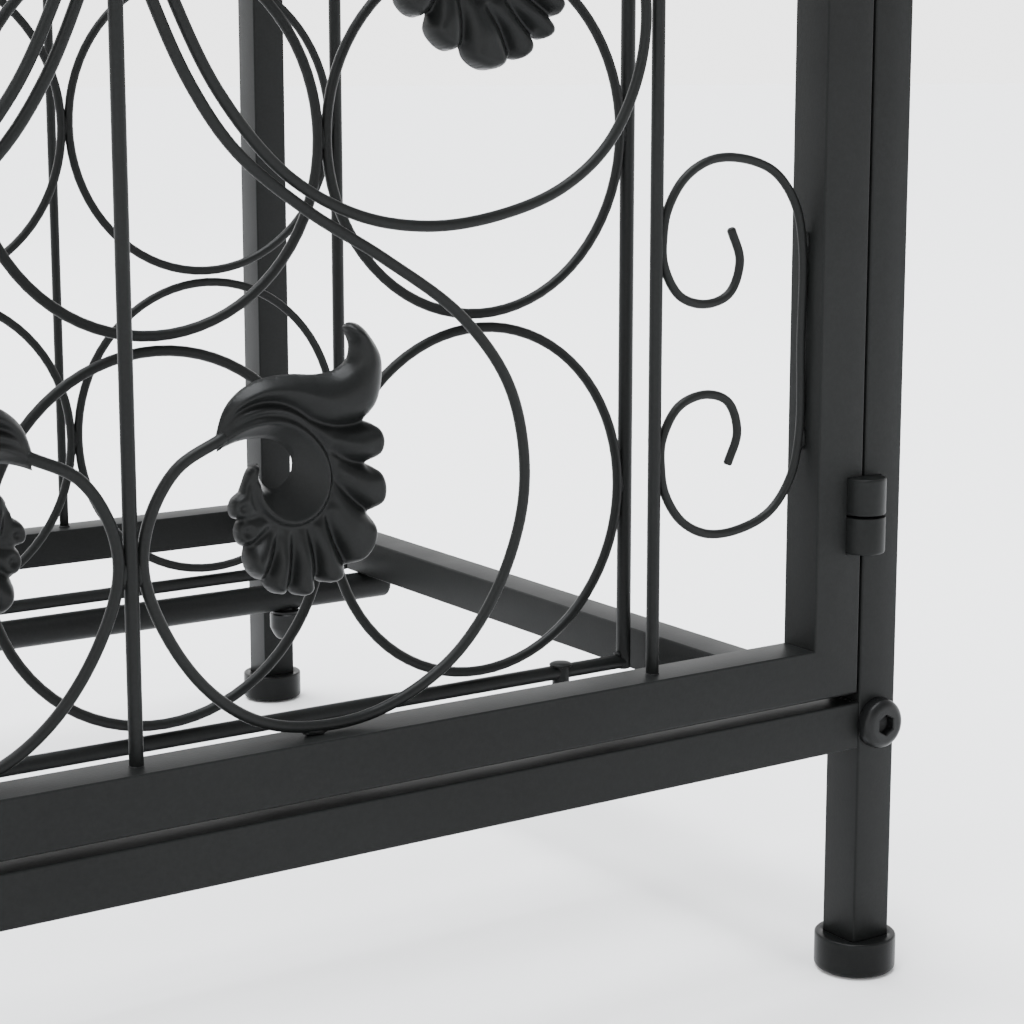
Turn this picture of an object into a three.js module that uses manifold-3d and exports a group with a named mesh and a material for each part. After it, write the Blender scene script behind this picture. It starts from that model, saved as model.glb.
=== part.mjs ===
// Wine rack: a bolted steel frame on four capped feet, two wire grids whose rings hold the bottles by
// neck and body, and an inset gate door of tube, rods, scrolls and pressed leaves on lift-off hinges.
//
// Millimetres, +Z up, +X to the right, +Y to the back. The dimensions below count y from the front
// plane of the frame; the whole rack is shifted at the end so that its box is centred on the origin.
import * as THREE from "three";
import { mergeVertices } from "three/addons/utils/BufferGeometryUtils.js";
import Module from "manifold-3d";

// ---- Driving dimensions ----------------------------------------------------------------------

const WIDTH = 450; // across the posts
const DEPTH = 360; // front of the front posts to back of the back posts
const HEIGHT = 738;
const GAP = 0.3; // air between pieces that touch

const TUBE = 13; // square tube of posts and rails
const TUBE_WALL = 1.2;
const TUBE_CORNER = 1.3;
const LEG = 66; // floor to the bottom rails

const FOOT_DIAMETER = 22.8;
const FOOT_HEIGHT = 10;
const FOOT_FLOOR = 2.5; // plastic under the end of the post

const BOLT_HEAD = 14;
const BOLT_HEAD_HEIGHT = 4.2;
const BOLT_SHANK = 5.8;
const BOLT_LENGTH = 24;
const BOLT_HOLE = 6.8;
const HEX_SOCKET = 5; // across the flats

const COLUMNS = 4;
const ROWS = 6;
const RING_WIDTH = 102.4; // outside sizes of one ring
const RING_HEIGHT = 104.6;
const RING_WIRE = 3;
const COLUMN_PITCH = 102;
const ROW_PITCH = 105.6;
const LOWEST_RING = 73.6; // floor to the underside of the lowest rings
const GRID_WIRE = 4.4;
const FRONT_GRID_Y = 100;
const BACK_GRID_Y = 274;
const RING_FORWARD = 0.7; // rings lie flush with the front of the grid's frame wire

const CROSS_TUBE = 10; // round tubes that carry the grids
const STUD = 5.4;
const STUD_X = 182.5;
const NUT = 11.6;

const ROD = 3.4; // upright rods of the door and the back
const BACK_ROD_X = 131;

const DOOR_GAP_SIDE = 0.5;
const DOOR_GAP_END = 2.5;
const DOOR_DEPTH = 13;
const STILE = 16;
const DOOR_RAIL = 14;
const DOOR_CORNER = 3;
const SIDE_ROD_X = 145.5;
const SCROLL_WIRE = 2.8;
const C_WIRE = 2.4;
const LEAF_THICKNESS = 9;

const HINGE_DIAMETER = 12;
const HINGE_PIN = 5;
const HINGE_BORE = 5.3;
const KNUCKLE = 10.4;
const HINGE_RISE = 50; // bottom of the door to the split of the lower hinge

const BUTTON_LENGTH = 32;
const BUTTON_WIDTH = 10;
const BUTTON_THICKNESS = 2.4;
const LATCH_SCREW = 4.8;
const LATCH_HOLE = 5.6;

// ---- Places that follow from them ------------------------------------------------------------

const postX = WIDTH / 2 - TUBE / 2;
const postY = [TUBE / 2, DEPTH - TUBE / 2];
const innerX = WIDTH / 2 - TUBE;
const topRail = HEIGHT - TUBE; // underside of the top rails
const tubeLow = LEG - GAP - CROSS_TUBE / 2;
const tubeHigh = topRail - GAP - CROSS_TUBE / 2;

const firstRow = LOWEST_RING + RING_HEIGHT / 2;
const lastRow = firstRow + (ROWS - 1) * ROW_PITCH;
const wireLow = LOWEST_RING - 3.35;
const wireHigh = lastRow + RING_HEIGHT / 2 + 3.35;
const ringReach = ((COLUMNS - 1) * COLUMN_PITCH + RING_WIDTH) / 2;
const endWireX = ringReach - RING_WIRE / 2 + 3.3;

const doorX = innerX - DOOR_GAP_SIDE;
const doorLow = LEG + TUBE + DOOR_GAP_END;
const doorHigh = topRail - DOOR_GAP_END;
const doorMiddle = (doorLow + doorHigh) / 2;
const doorY = DOOR_DEPTH / 2;

const hingeX = innerX - DOOR_GAP_SIDE / 2;
const hingeZ = [doorLow + HINGE_RISE, doorHigh - HINGE_RISE];

// ---- Materials -------------------------------------------------------------------------------

const paint = (name, color, roughness, metalness) =>
  new THREE.MeshStandardMaterial({ name, color, roughness, metalness });
const powderCoat = paint("powder_coat", 0x2c2d2e, 0.5, 0.2);
const plastic = paint("foot_plastic", 0x242526, 0.6, 0);
const boltSteel = paint("black_bolt_steel", 0x2a2b2c, 0.4, 0.5);

// ---- Solids ----------------------------------------------------------------------------------

const wasm = await Module();
wasm.setup();

// A closed geometry as a solid: vertices welded, collapsed triangles dropped.
function solid(geometry) {
  const bare = geometry.clone();
  bare.deleteAttribute("normal");
  bare.deleteAttribute("uv");
  const merged = mergeVertices(bare, 1e-3);
  const index = merged.index.array;
  const triangles = [];
  for (let i = 0; i < index.length; i += 3) {
    const [a, b, c] = index.slice(i, i + 3);
    if (a !== b && b !== c && c !== a) triangles.push(a, b, c);
  }
  const vertProperties = new Float32Array(merged.attributes.position.array);
  const triVerts = new Uint32Array(triangles);
  return new wasm.Manifold(new wasm.Mesh({ numProp: 3, vertProperties, triVerts }));
}

function geometryOf(body) {
  const mesh = body.getMesh();
  const geometry = new THREE.BufferGeometry();
  const points = new Float32Array(mesh.vertProperties);
  geometry.setAttribute("position", new THREE.BufferAttribute(points, 3));
  geometry.setIndex(new THREE.BufferAttribute(new Uint32Array(mesh.triVerts), 1));
  geometry.computeVertexNormals();
  return geometry;
}

const union = (bodies) => bodies.reduce((sum, body) => sum.add(body));

const rack = new THREE.Group();
rack.name = "wine_rack";

function piece(name, body, material = powderCoat) {
  const mesh = new THREE.Mesh(geometryOf(body), material);
  mesh.name = name;
  rack.add(mesh);
  return mesh;
}

// ---- Basic forms, all centred on the origin with their length along Z ------------------------

function roundedRectangle(width, depth, radius) {
  const x = width / 2 - radius;
  const y = depth / 2 - radius;
  const shape = new THREE.Shape();
  shape.absarc(x, y, radius, 0, Math.PI / 2);
  shape.absarc(-x, y, radius, Math.PI / 2, Math.PI);
  shape.absarc(-x, -y, radius, Math.PI, Math.PI * 1.5);
  shape.absarc(x, -y, radius, Math.PI * 1.5, Math.PI * 2);
  shape.closePath();
  return shape;
}

function squareTube(length, width, depth, corner) {
  const shape = roundedRectangle(width, depth, corner);
  const hollow = new THREE.BoxGeometry(width - 2 * TUBE_WALL, depth - 2 * TUBE_WALL, length * 2);
  const settings = { depth: length, bevelEnabled: false, curveSegments: 1 };
  const outside = new THREE.ExtrudeGeometry(shape, settings).translate(0, 0, -length / 2);
  return { outside, hollow };
}

const rod = (diameter, length, sides = 10) =>
  new THREE.CylinderGeometry(diameter / 2, diameter / 2, length, sides).rotateX(Math.PI / 2);

// A body turned from a profile of [radius, height] points around Z.
function turned(profile, sides = 16) {
  const points = profile.map(([radius, height]) => new THREE.Vector2(radius, height));
  return new THREE.LatheGeometry(points, sides).rotateX(Math.PI / 2);
}

const alongX = (geometry) => geometry.rotateY(Math.PI / 2);
const alongY = (geometry) => geometry.rotateX(Math.PI / 2);

// A round wire along a smooth curve through [x, z] points in the upright plane at y.
function wire(points, y, diameter, steps, sides = 4) {
  const path = new THREE.CatmullRomCurve3(
    points.map(([x, z]) => new THREE.Vector3(x, y, z)), false, "centripetal");
  const section = new THREE.Shape();
  for (let i = 0; i < sides; i += 1) {
    const angle = (2 * Math.PI * i) / sides;
    const [u, v] = [Math.cos(angle) * diameter / 2, Math.sin(angle) * diameter / 2];
    if (i === 0) section.moveTo(u, v);
    else section.lineTo(u, v);
  }
  section.closePath();
  return new THREE.ExtrudeGeometry(section, { steps, extrudePath: path, bevelEnabled: false });
}

const mirrorX = (points) => points.map(([x, z]) => [-x, z]);
const mirrorZ = (points, middle) => points.map(([x, z]) => [x, 2 * middle - z]);

const sides = [["left", -1], ["right", 1]];
const ends = [["front", 0], ["back", 1]];

// ---- Frame -----------------------------------------------------------------------------------

const boltZ = [LEG + TUBE / 2, topRail + TUBE / 2];

function boltHoles(x, y) {
  return boltZ.map((z) => solid(alongY(rod(BOLT_HOLE, TUBE + 2, 10)).translate(x, y, z)));
}

function addPosts() {
  const bottom = FOOT_FLOOR + GAP;
  const length = HEIGHT - bottom;
  for (const [side, sx] of sides) {
    for (const [end, row] of ends) {
      const [x, y] = [sx * postX, postY[row]];
      const { outside, hollow } = squareTube(length, TUBE, TUBE, TUBE_CORNER);
      let post = solid(outside.translate(x, y, bottom + length / 2));
      // The hollow is open at the floor end and closed by a welded plate at the top.
      post = post.subtract(solid(hollow.translate(x, y, HEIGHT - TUBE_WALL - length)));
      for (const hole of boltHoles(x, y)) post = post.subtract(hole);
      if (row === 0 && sx > 0) {
        for (const z of hingeZ) post = post.subtract(hingeNotch(z));
      }
      if (row === 0 && sx < 0) {
        post = post.subtract(solid(alongY(rod(LATCH_HOLE, 6, 12)).translate(x, 0, doorMiddle)));
      }
      piece(`post_${end}_${side}`, post);
    }
  }
}

// Clearance around a hinge barrel, cut into the corners of the post and the stile.
function hingeNotch(z) {
  return solid(rod(HINGE_DIAMETER + 2 * GAP, 2 * KNUCKLE + 3, 16).translate(hingeX, 0, z));
}

function addCrosswiseRails() {
  const length = 2 * innerX - 2 * GAP;
  for (const [level, bottom] of [["bottom", LEG], ["top", topRail]]) {
    for (const [end, row] of ends) {
      const { outside, hollow } = squareTube(length, TUBE, TUBE, TUBE_CORNER);
      const tube = solid(outside).subtract(solid(hollow));
      const rail = piece(`rail_${end}_${level}`, tube);
      rail.rotation.y = Math.PI / 2;
      rail.position.set(0, postY[row], bottom + TUBE / 2);
    }
  }
}

// The side rails are closed by end plates, which the bolts screw into.
function addSideRails() {
  const length = DEPTH - 2 * TUBE - 2 * GAP;
  const plate = 4;
  const { outside } = squareTube(length, TUBE, TUBE, TUBE_CORNER);
  const core = new THREE.BoxGeometry(TUBE - 2 * TUBE_WALL, TUBE - 2 * TUBE_WALL, length - 2 * plate);
  const drilled = solid(outside).subtract(solid(core)).subtract(solid(rod(BOLT_HOLE, length * 2, 10)));
  for (const [level, bottom] of [["bottom", LEG], ["top", topRail]]) {
    for (const [side, sx] of sides) {
      const rail = piece(`rail_${side}_${level}`, drilled);
      rail.rotation.x = Math.PI / 2;
      rail.position.set(sx * postX, DEPTH / 2, bottom + TUBE / 2);
    }
  }
}

function boltBody() {
  const radius = BOLT_HEAD / 2;
  const profile = [
    [0, -BOLT_LENGTH], [BOLT_SHANK / 2, -BOLT_LENGTH], [BOLT_SHANK / 2, GAP], [radius, GAP],
    [radius, GAP + 1.1], [radius * 0.9, GAP + 2.4], [radius * 0.6, BOLT_HEAD_HEIGHT],
    [0, BOLT_HEAD_HEIGHT],
  ];
  const acrossCorners = HEX_SOCKET / Math.cos(Math.PI / 6);
  const socket = rod(acrossCorners, 5, 6).translate(0, 0, BOLT_HEAD_HEIGHT);
  return solid(turned(profile, 12)).subtract(solid(socket));
}

function addFrameBolts() {
  const body = boltBody();
  for (const [level, z] of [["bottom", boltZ[0]], ["top", boltZ[1]]]) {
    for (const [side, sx] of sides) {
      for (const [end, row] of ends) {
        const bolt = piece(`bolt_${end}_${side}_${level}`, body, boltSteel);
        bolt.rotation.x = row === 0 ? Math.PI / 2 : -Math.PI / 2;
        bolt.position.set(sx * postX, row * DEPTH, z);
      }
    }
  }
}

// A moulded cup around the end of the post.
function addFeet() {
  const radius = FOOT_DIAMETER / 2;
  const profile = [
    [0, 0], [radius - 0.9, 0], [radius, 0.9], [radius, FOOT_HEIGHT - 0.9],
    [radius - 0.9, FOOT_HEIGHT], [0, FOOT_HEIGHT],
  ];
  const socket = roundedRectangle(TUBE + 2 * GAP, TUBE + 2 * GAP, TUBE_CORNER);
  const settings = { depth: FOOT_HEIGHT, bevelEnabled: false, curveSegments: 1 };
  const pocket = new THREE.ExtrudeGeometry(socket, settings).translate(0, 0, FOOT_FLOOR);
  const cup = solid(turned(profile, 20)).subtract(solid(pocket));
  for (const [side, sx] of sides) {
    for (const [end, row] of ends) {
      piece(`foot_${end}_${side}`, cup, plastic).position.set(sx * postX, postY[row], 0);
    }
  }
}

function addBackRods() {
  const length = topRail - LEG - TUBE - 2 * GAP;
  for (let i = 0; i < 4; i += 1) {
    const upright = piece(`back_rod_${i + 1}`, solid(rod(ROD, length, 8)));
    const x = BACK_ROD_X * (-1 + (2 * i) / 3);
    upright.position.set(x, postY[1], LEG + TUBE + GAP + length / 2);
  }
}

// ---- Bottle grids ----------------------------------------------------------------------------

function ringGeometry(x, y, z) {
  const middle = (RING_WIDTH - RING_WIRE) / 2;
  const stretch = (RING_HEIGHT - RING_WIRE) / (RING_WIDTH - RING_WIRE);
  const ring = new THREE.TorusGeometry(middle, RING_WIRE / 2, 4, 14).rotateX(Math.PI / 2);
  return ring.scale(1, 1, stretch).translate(x, y, z);
}

// The end wires and the bottom and top wires form one rectangle, with a stud through each corner
// region that reaches out of the cross tube into its nut.
function gridFrame(y) {
  const high = wireHigh - wireLow;
  const upright = rod(GRID_WIRE, high + GRID_WIRE, 8);
  const level = alongX(rod(GRID_WIRE, 2 * endWireX, 8));
  const bodies = [];
  for (const [, sx] of sides) {
    bodies.push(solid(upright.clone().translate(sx * endWireX, y, (wireLow + wireHigh) / 2)));
  }
  for (const z of [wireLow, wireHigh]) bodies.push(solid(level.clone().translate(0, y, z)));
  const studs = [
    [wireLow + 3, tubeLow - CROSS_TUBE / 2 - 5],
    [wireHigh - 3, tubeHigh + CROSS_TUBE / 2 + 5],
  ];
  for (const [, sx] of sides) {
    for (const [from, to] of studs) {
      const stud = rod(STUD, Math.abs(to - from), 10);
      bodies.push(solid(stud.translate(sx * STUD_X, y, (from + to) / 2)));
    }
  }
  return bodies;
}

function addGrid(name, y) {
  const bodies = gridFrame(y);
  for (let row = 0; row < ROWS; row += 1) {
    for (let column = 0; column < COLUMNS; column += 1) {
      const x = (column - (COLUMNS - 1) / 2) * COLUMN_PITCH;
      bodies.push(solid(ringGeometry(x, y - RING_FORWARD, firstRow + row * ROW_PITCH)));
    }
  }
  piece(name, union(bodies));
}

// The ends are closed and eased; the stud holes open the hollow.
function addCrossTube(name, y, z) {
  const [radius, half, ease] = [CROSS_TUBE / 2, WIDTH / 2, 1.2];
  const profile = [
    [0, -half], [radius - ease, -half], [radius, ease - half], [radius, half - ease],
    [radius - ease, half], [0, half],
  ];
  const hollow = alongX(rod(CROSS_TUBE - 2 * TUBE_WALL, WIDTH - 4 * TUBE_WALL, 8));
  let tube = solid(alongX(turned(profile, 10))).subtract(solid(hollow));
  for (const [, sx] of sides) {
    tube = tube.subtract(solid(rod(STUD + 2 * GAP, CROSS_TUBE + 4, 10).translate(sx * STUD_X, 0, 0)));
  }
  piece(name, tube).position.set(0, y, z);
}

// A cap nut: flange, tapering dome and a blind bore for the stud. Its mouth faces +Z.
function nutBody() {
  const radius = NUT / 2;
  const bore = STUD / 2 + GAP;
  const profile = [
    [0, -10.8], [2.6, -10.8], [3.6, -9.6], [4.4, -7.4], [radius, -5.6], [radius, -GAP],
    [bore, -GAP], [bore, -6.2], [0, -6.2],
  ];
  return solid(turned(profile, 12));
}

function addNuts() {
  const body = nutBody();
  for (const [end, y] of [["front", FRONT_GRID_Y], ["back", BACK_GRID_Y]]) {
    for (const [side, sx] of sides) {
      const nut = piece(`grid_nut_${end}_${side}`, body, boltSteel);
      nut.position.set(sx * STUD_X, y, tubeLow - CROSS_TUBE / 2);
    }
  }
}

// ---- Door ------------------------------------------------------------------------------------

function addDoorFrame() {
  const high = doorHigh - doorLow;
  for (const [side, sx] of sides) {
    const { outside, hollow } = squareTube(high, STILE, DOOR_DEPTH, DOOR_CORNER);
    const [x, z] = [sx * (doorX - STILE / 2), doorMiddle];
    let stile = solid(outside.translate(x, doorY, z)).subtract(solid(hollow.translate(x, doorY, z)));
    if (sx > 0) {
      for (const height of hingeZ) stile = stile.subtract(hingeNotch(height));
    }
    piece(`door_stile_${side}`, stile);
  }
  const length = 2 * (doorX - STILE - GAP);
  for (const [level, z] of [["bottom", doorLow + DOOR_RAIL / 2], ["top", doorHigh - DOOR_RAIL / 2]]) {
    const { outside, hollow } = squareTube(length, DOOR_RAIL, DOOR_DEPTH, DOOR_CORNER);
    const rail = piece(`door_rail_${level}`, solid(outside).subtract(solid(hollow)));
    rail.rotation.y = Math.PI / 2;
    rail.position.set(0, doorY, z);
  }
}

const rodLow = doorLow + DOOR_RAIL + GAP;
const rodHigh = doorHigh - DOOR_RAIL - GAP;
const doorRod = (x) => rod(ROD, rodHigh - rodLow, 8).translate(x, doorY, doorMiddle);

// The long wire of the lower leaf: round the lower loop, up across the middle of the door, and at
// the door's mid height a little to the far side.
const longScroll = [
  [20.3, 167.2], [11.2, 161.5], [4.6, 151], [3, 139.5], [8.3, 124.3], [18.5, 110], [31, 101],
  [46, 97.4], [64, 98.8], [84, 108.4], [97, 123.5], [104.6, 143], [104.9, 160], [100, 176],
  [86.8, 192.2], [66, 206.5], [45.5, 218.5], [28, 232], [17, 247], [7.6, 266.9], [-1, 290],
  [-11, 326], [-17.5, 364], [-19.5, doorMiddle],
];

// The short wire of the upper leaf, outside the long one.
const shortScroll = [
  [96.2, 299.1], [106.3, 302.5], [118.8, 301], [130.5, 293.3], [139, 278.5], [141.6, 262],
  [138.6, 246.5],
  [130, 231.6], [116.5, 221.5], [98, 215.5], [78, 213.6], [58.5, 217], [40, 227], [24, 245],
  [12.6, 267], [3.5, 290], [-9, 326], [-19, 364], [-23, doorMiddle],
];

const wholeScroll = (half) => half.concat(mirrorZ(half, doorMiddle).reverse().slice(1));

function addScrollwork() {
  const bodies = [solid(doorRod(0))];
  for (const [half, steps] of [[longScroll, 54], [shortScroll, 40]]) {
    const whole = wholeScroll(half);
    bodies.push(solid(wire(whole, doorY, SCROLL_WIRE, steps)));
    bodies.push(solid(wire(mirrorX(whole), doorY, SCROLL_WIRE, steps)));
  }
  piece("door_scrollwork", union(bodies));
}

// Half of a C-scroll, from the tip of its curl to the middle of its straight back.
const curl = [
  [169.6, 148.5], [172.6, 156.5], [169.5, 164.6], [161.8, 167.2], [153, 164.6], [147.9, 156.5],
  [147.6, 149], [149, 142.5], [154.2, 135], [162.5, 130.6], [173, 130.4], [184, 134.2], [191, 142.5],
  [193.9, 154],
];
const curlMiddle = 178.9;

function addSideScrolls() {
  const halfC = curl.concat([[193.9, curlMiddle]]);
  const cScroll = halfC.concat(mirrorZ(halfC, curlMiddle).reverse().slice(1));
  const rises = [0, doorMiddle - curlMiddle, 2 * (doorMiddle - curlMiddle)];
  for (const [side, sx] of sides) {
    const bodies = [solid(doorRod(sx * SIDE_ROD_X))];
    for (const rise of rises) {
      const points = cScroll.map(([x, z]) => [sx * x, z + rise]);
      bodies.push(solid(wire(points, doorY, C_WIRE, 26)));
    }
    piece(`door_side_scroll_${side}`, union(bodies));
  }
}

// Outline of a pressed leaf around the centre of its volute: from the tip that meets the wire over
// the back to the horn, down the lobes, and back along the hollow of the volute.
const leafOutline = [
  [-20.4, 12], [-18.3, 18], [-15.2, 21.6], [-9.9, 24.4], [-1.9, 25.3], [6, 24.8], [10.7, 25.6],
  [13.7, 27.8], [14.4, 30.8], [12.8, 35.3], [14.2, 36.2], [17.2, 35.6], [20.4, 32.3], [22.9, 27.8],
  [23, 22], [21.4, 16.6], [17.9, 13.1], [21, 11.6], [22.2, 8.6], [21.2, 5.2], [18.2, 3], [21.4, 1],
  [22.6, -2.8], [21.7, -6.4], [18.6, -8.8], [20, -12], [19.2, -16.4], [16.3, -19.6], [12.2, -21],
  [8.2, -24.3], [4, -23], [0.7, -26.6], [-3, -24.4], [-7, -25], [-9.4, -21.8], [-13.6, -18.6],
  [-13.9, -13.5], [-16.3, -10.3], [-15.2, -7], [-17.6, -4.3], [-14.9, -0.7], [-13, 3.7],
  [-9.7, 5.3], [-8.1, 0.2], [-5.7, -1.2], [-3, 0.1], [-1, 2.7], [-0.9, 5.8], [-2.7, 8.6],
  [-6.3, 10.6], [-14.4, 10.8], [-20, 8.9],
];

// The lower leaf stands as drawn, and the upper one is its mirror image, tilted.
const leaves = [
  { name: "lower", x: 42, z: 156, flip: 1, tilt: 0 },
  { name: "upper", x: 91.5, z: 275, flip: -1, tilt: THREE.MathUtils.degToRad(51.5) },
];

function leafGeometry({ x, z, flip, tilt }, sx, upsideDown) {
  const points = leafOutline.map(([u, v]) => {
    const a = flip * u;
    const px = x + a * Math.cos(tilt) - v * Math.sin(tilt);
    const pz = z + a * Math.sin(tilt) + v * Math.cos(tilt);
    return new THREE.Vector2(sx * px, upsideDown ? 2 * doorMiddle - pz : pz);
  });
  const shape = new THREE.Shape(points);
  const plate = new THREE.ExtrudeGeometry(shape, { depth: LEAF_THICKNESS, bevelEnabled: false });
  return plate.rotateX(Math.PI / 2).translate(0, doorY + LEAF_THICKNESS / 2, 0);
}

function addLeaves() {
  for (const [side, sx] of sides) {
    for (const [half, upsideDown] of [["bottom", false], ["top", true]]) {
      for (const leaf of leaves) {
        piece(`leaf_${leaf.name}_${half}_${side}`, solid(leafGeometry(leaf, sx, upsideDown)));
      }
    }
  }
}

// Lift-off hinges: the lower knuckle is welded to the post and holds the pin, and the upper one is
// welded to the door and drops over it.
function addHinges() {
  const radius = HINGE_DIAMETER / 2;
  const edge = 0.7;
  const fixed = [
    [0, -KNUCKLE], [radius - edge, -KNUCKLE], [radius, -KNUCKLE + edge], [radius, -GAP - edge],
    [radius - edge, -GAP], [HINGE_PIN / 2, -GAP], [HINGE_PIN / 2, KNUCKLE - 3.2], [0, KNUCKLE - 3.2],
  ];
  const lifting = [
    [HINGE_BORE / 2, GAP], [radius - edge, GAP], [radius, GAP + edge], [radius, KNUCKLE - edge],
    [radius - edge, KNUCKLE], [0, KNUCKLE], [0, KNUCKLE - 2], [HINGE_BORE / 2, KNUCKLE - 2],
    [HINGE_BORE / 2, GAP],
  ];
  for (const [level, z] of [["bottom", hingeZ[0]], ["top", hingeZ[1]]]) {
    piece(`hinge_${level}_post_knuckle`, solid(turned(fixed))).position.set(hingeX, 0, z);
    piece(`hinge_${level}_door_knuckle`, solid(turned(lifting))).position.set(hingeX, 0, z);
  }
}

// A turn button on the left post: upright it frees the door, level it lies across the stile.
function addLatch() {
  const half = BUTTON_WIDTH / 2;
  const reach = BUTTON_LENGTH - half;
  const shape = new THREE.Shape();
  shape.absarc(0, 0, half, Math.PI, Math.PI * 2);
  shape.absarc(0, reach - half, half, 0, Math.PI);
  shape.closePath();
  const hole = new THREE.Path();
  hole.absarc(0, 0, 2.8, 0, Math.PI * 2, true);
  shape.holes.push(hole);
  const settings = { depth: BUTTON_THICKNESS, bevelEnabled: false, curveSegments: 5 };
  const plate = new THREE.ExtrudeGeometry(shape, settings).rotateX(Math.PI / 2);
  const knobProfile = [[0, -0.8], [2.4, -0.8], [2.4, 1.4], [4, 2.8], [4, 4.4], [2.8, 5.6], [0, 5.6]];
  const knob = alongY(turned(knobProfile, 12)).translate(0, -BUTTON_THICKNESS, reach - half);
  const button = piece("latch_button", solid(plate).add(solid(knob)));
  button.position.set(-postX, -0.5, doorMiddle);
  const screwProfile = [
    [0, -9], [LATCH_SCREW / 2, -9], [LATCH_SCREW / 2, 3.3], [4.4, 3.3], [4.2, 4.6], [2.6, 5.6],
    [0, 5.6],
  ];
  const screw = piece("latch_screw", solid(alongY(turned(screwProfile, 12))), boltSteel);
  screw.position.set(-postX, 0, doorMiddle);
}

// ---- Assembly --------------------------------------------------------------------------------

addPosts();
addCrosswiseRails();
addSideRails();
addFrameBolts();
addFeet();
addBackRods();
addCrossTube("cross_tube_front_bottom", FRONT_GRID_Y, tubeLow);
addCrossTube("cross_tube_back_bottom", BACK_GRID_Y, tubeLow);
addCrossTube("cross_tube_front_top", FRONT_GRID_Y, tubeHigh);
addCrossTube("cross_tube_back_top", BACK_GRID_Y, tubeHigh);
addGrid("bottle_grid_front", FRONT_GRID_Y);
addGrid("bottle_grid_back", BACK_GRID_Y);
addNuts();
addDoorFrame();
addScrollwork();
addSideScrolls();
addLeaves();
addHinges();
addLatch();

// Stand the rack with the middle of its box over the origin.
const box = new THREE.Box3().setFromObject(rack);
rack.position.set(-(box.min.x + box.max.x) / 2, -(box.min.y + box.max.y) / 2, 0);

export default rack;
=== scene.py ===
"""Wine rack with a scrollwork gate door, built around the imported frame.

Lengths below are millimetres in the rack's design frame: X = 0 is the rack's middle, y = 0 the
front plane of the posts and z = 0 the floor.  at() turns them into metres in the row frame.  Only
the places of floor and lights and the depths of bumps are written in metres.
"""
import math

import bmesh
import bpy
import numpy as np
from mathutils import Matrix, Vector
from mathutils.geometry import delaunay_2d_cdt


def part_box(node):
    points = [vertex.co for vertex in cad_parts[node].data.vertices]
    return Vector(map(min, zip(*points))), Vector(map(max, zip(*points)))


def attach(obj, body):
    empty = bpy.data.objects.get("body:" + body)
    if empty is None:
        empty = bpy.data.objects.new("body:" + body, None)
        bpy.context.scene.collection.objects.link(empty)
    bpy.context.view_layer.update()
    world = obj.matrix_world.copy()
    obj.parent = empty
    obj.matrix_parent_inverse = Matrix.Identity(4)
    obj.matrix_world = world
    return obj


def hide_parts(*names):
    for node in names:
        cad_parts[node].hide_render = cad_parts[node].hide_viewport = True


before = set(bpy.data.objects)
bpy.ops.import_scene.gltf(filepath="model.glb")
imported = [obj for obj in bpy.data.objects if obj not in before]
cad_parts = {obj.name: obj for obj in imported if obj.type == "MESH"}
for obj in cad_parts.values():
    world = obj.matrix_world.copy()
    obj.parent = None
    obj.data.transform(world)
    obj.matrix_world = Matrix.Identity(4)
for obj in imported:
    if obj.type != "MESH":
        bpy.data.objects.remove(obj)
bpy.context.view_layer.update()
MM = 0.001
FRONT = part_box("post_front_left")[0][1] / MM


def at(x, y, z):
    return Vector((x * MM, (y + FRONT) * MM, z * MM))


def node_box(name):
    """The node's lowest and highest corner in the design frame."""
    lo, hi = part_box(name)
    return [[c[0] / MM, c[1] / MM - FRONT, c[2] / MM] for c in (lo, hi)]


SIDES = (("left", -1), ("right", 1))
ENDS = ("front", "back")
LEVELS = ("bottom", "top")

# ---- Materials -------------------------------------------------------------------------------


TONE_SCALE, SPECK_SCALE, GLOSS_SCALE = 14, 0.6, 60
TONE_LOW, TONE_HIGH = 0.86, 1.16
SPECK_LOW, SPECK_HIGH = 0.9, 1.12
GLOSS_BELOW, GLOSS_ABOVE = 0.05, 0.06
PEEL_DEPTH, STREAK_DEPTH = 0.00012, 0.00005
STREAK_SCALE, STREAK_DISTORTION = 900, 1.2


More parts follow.
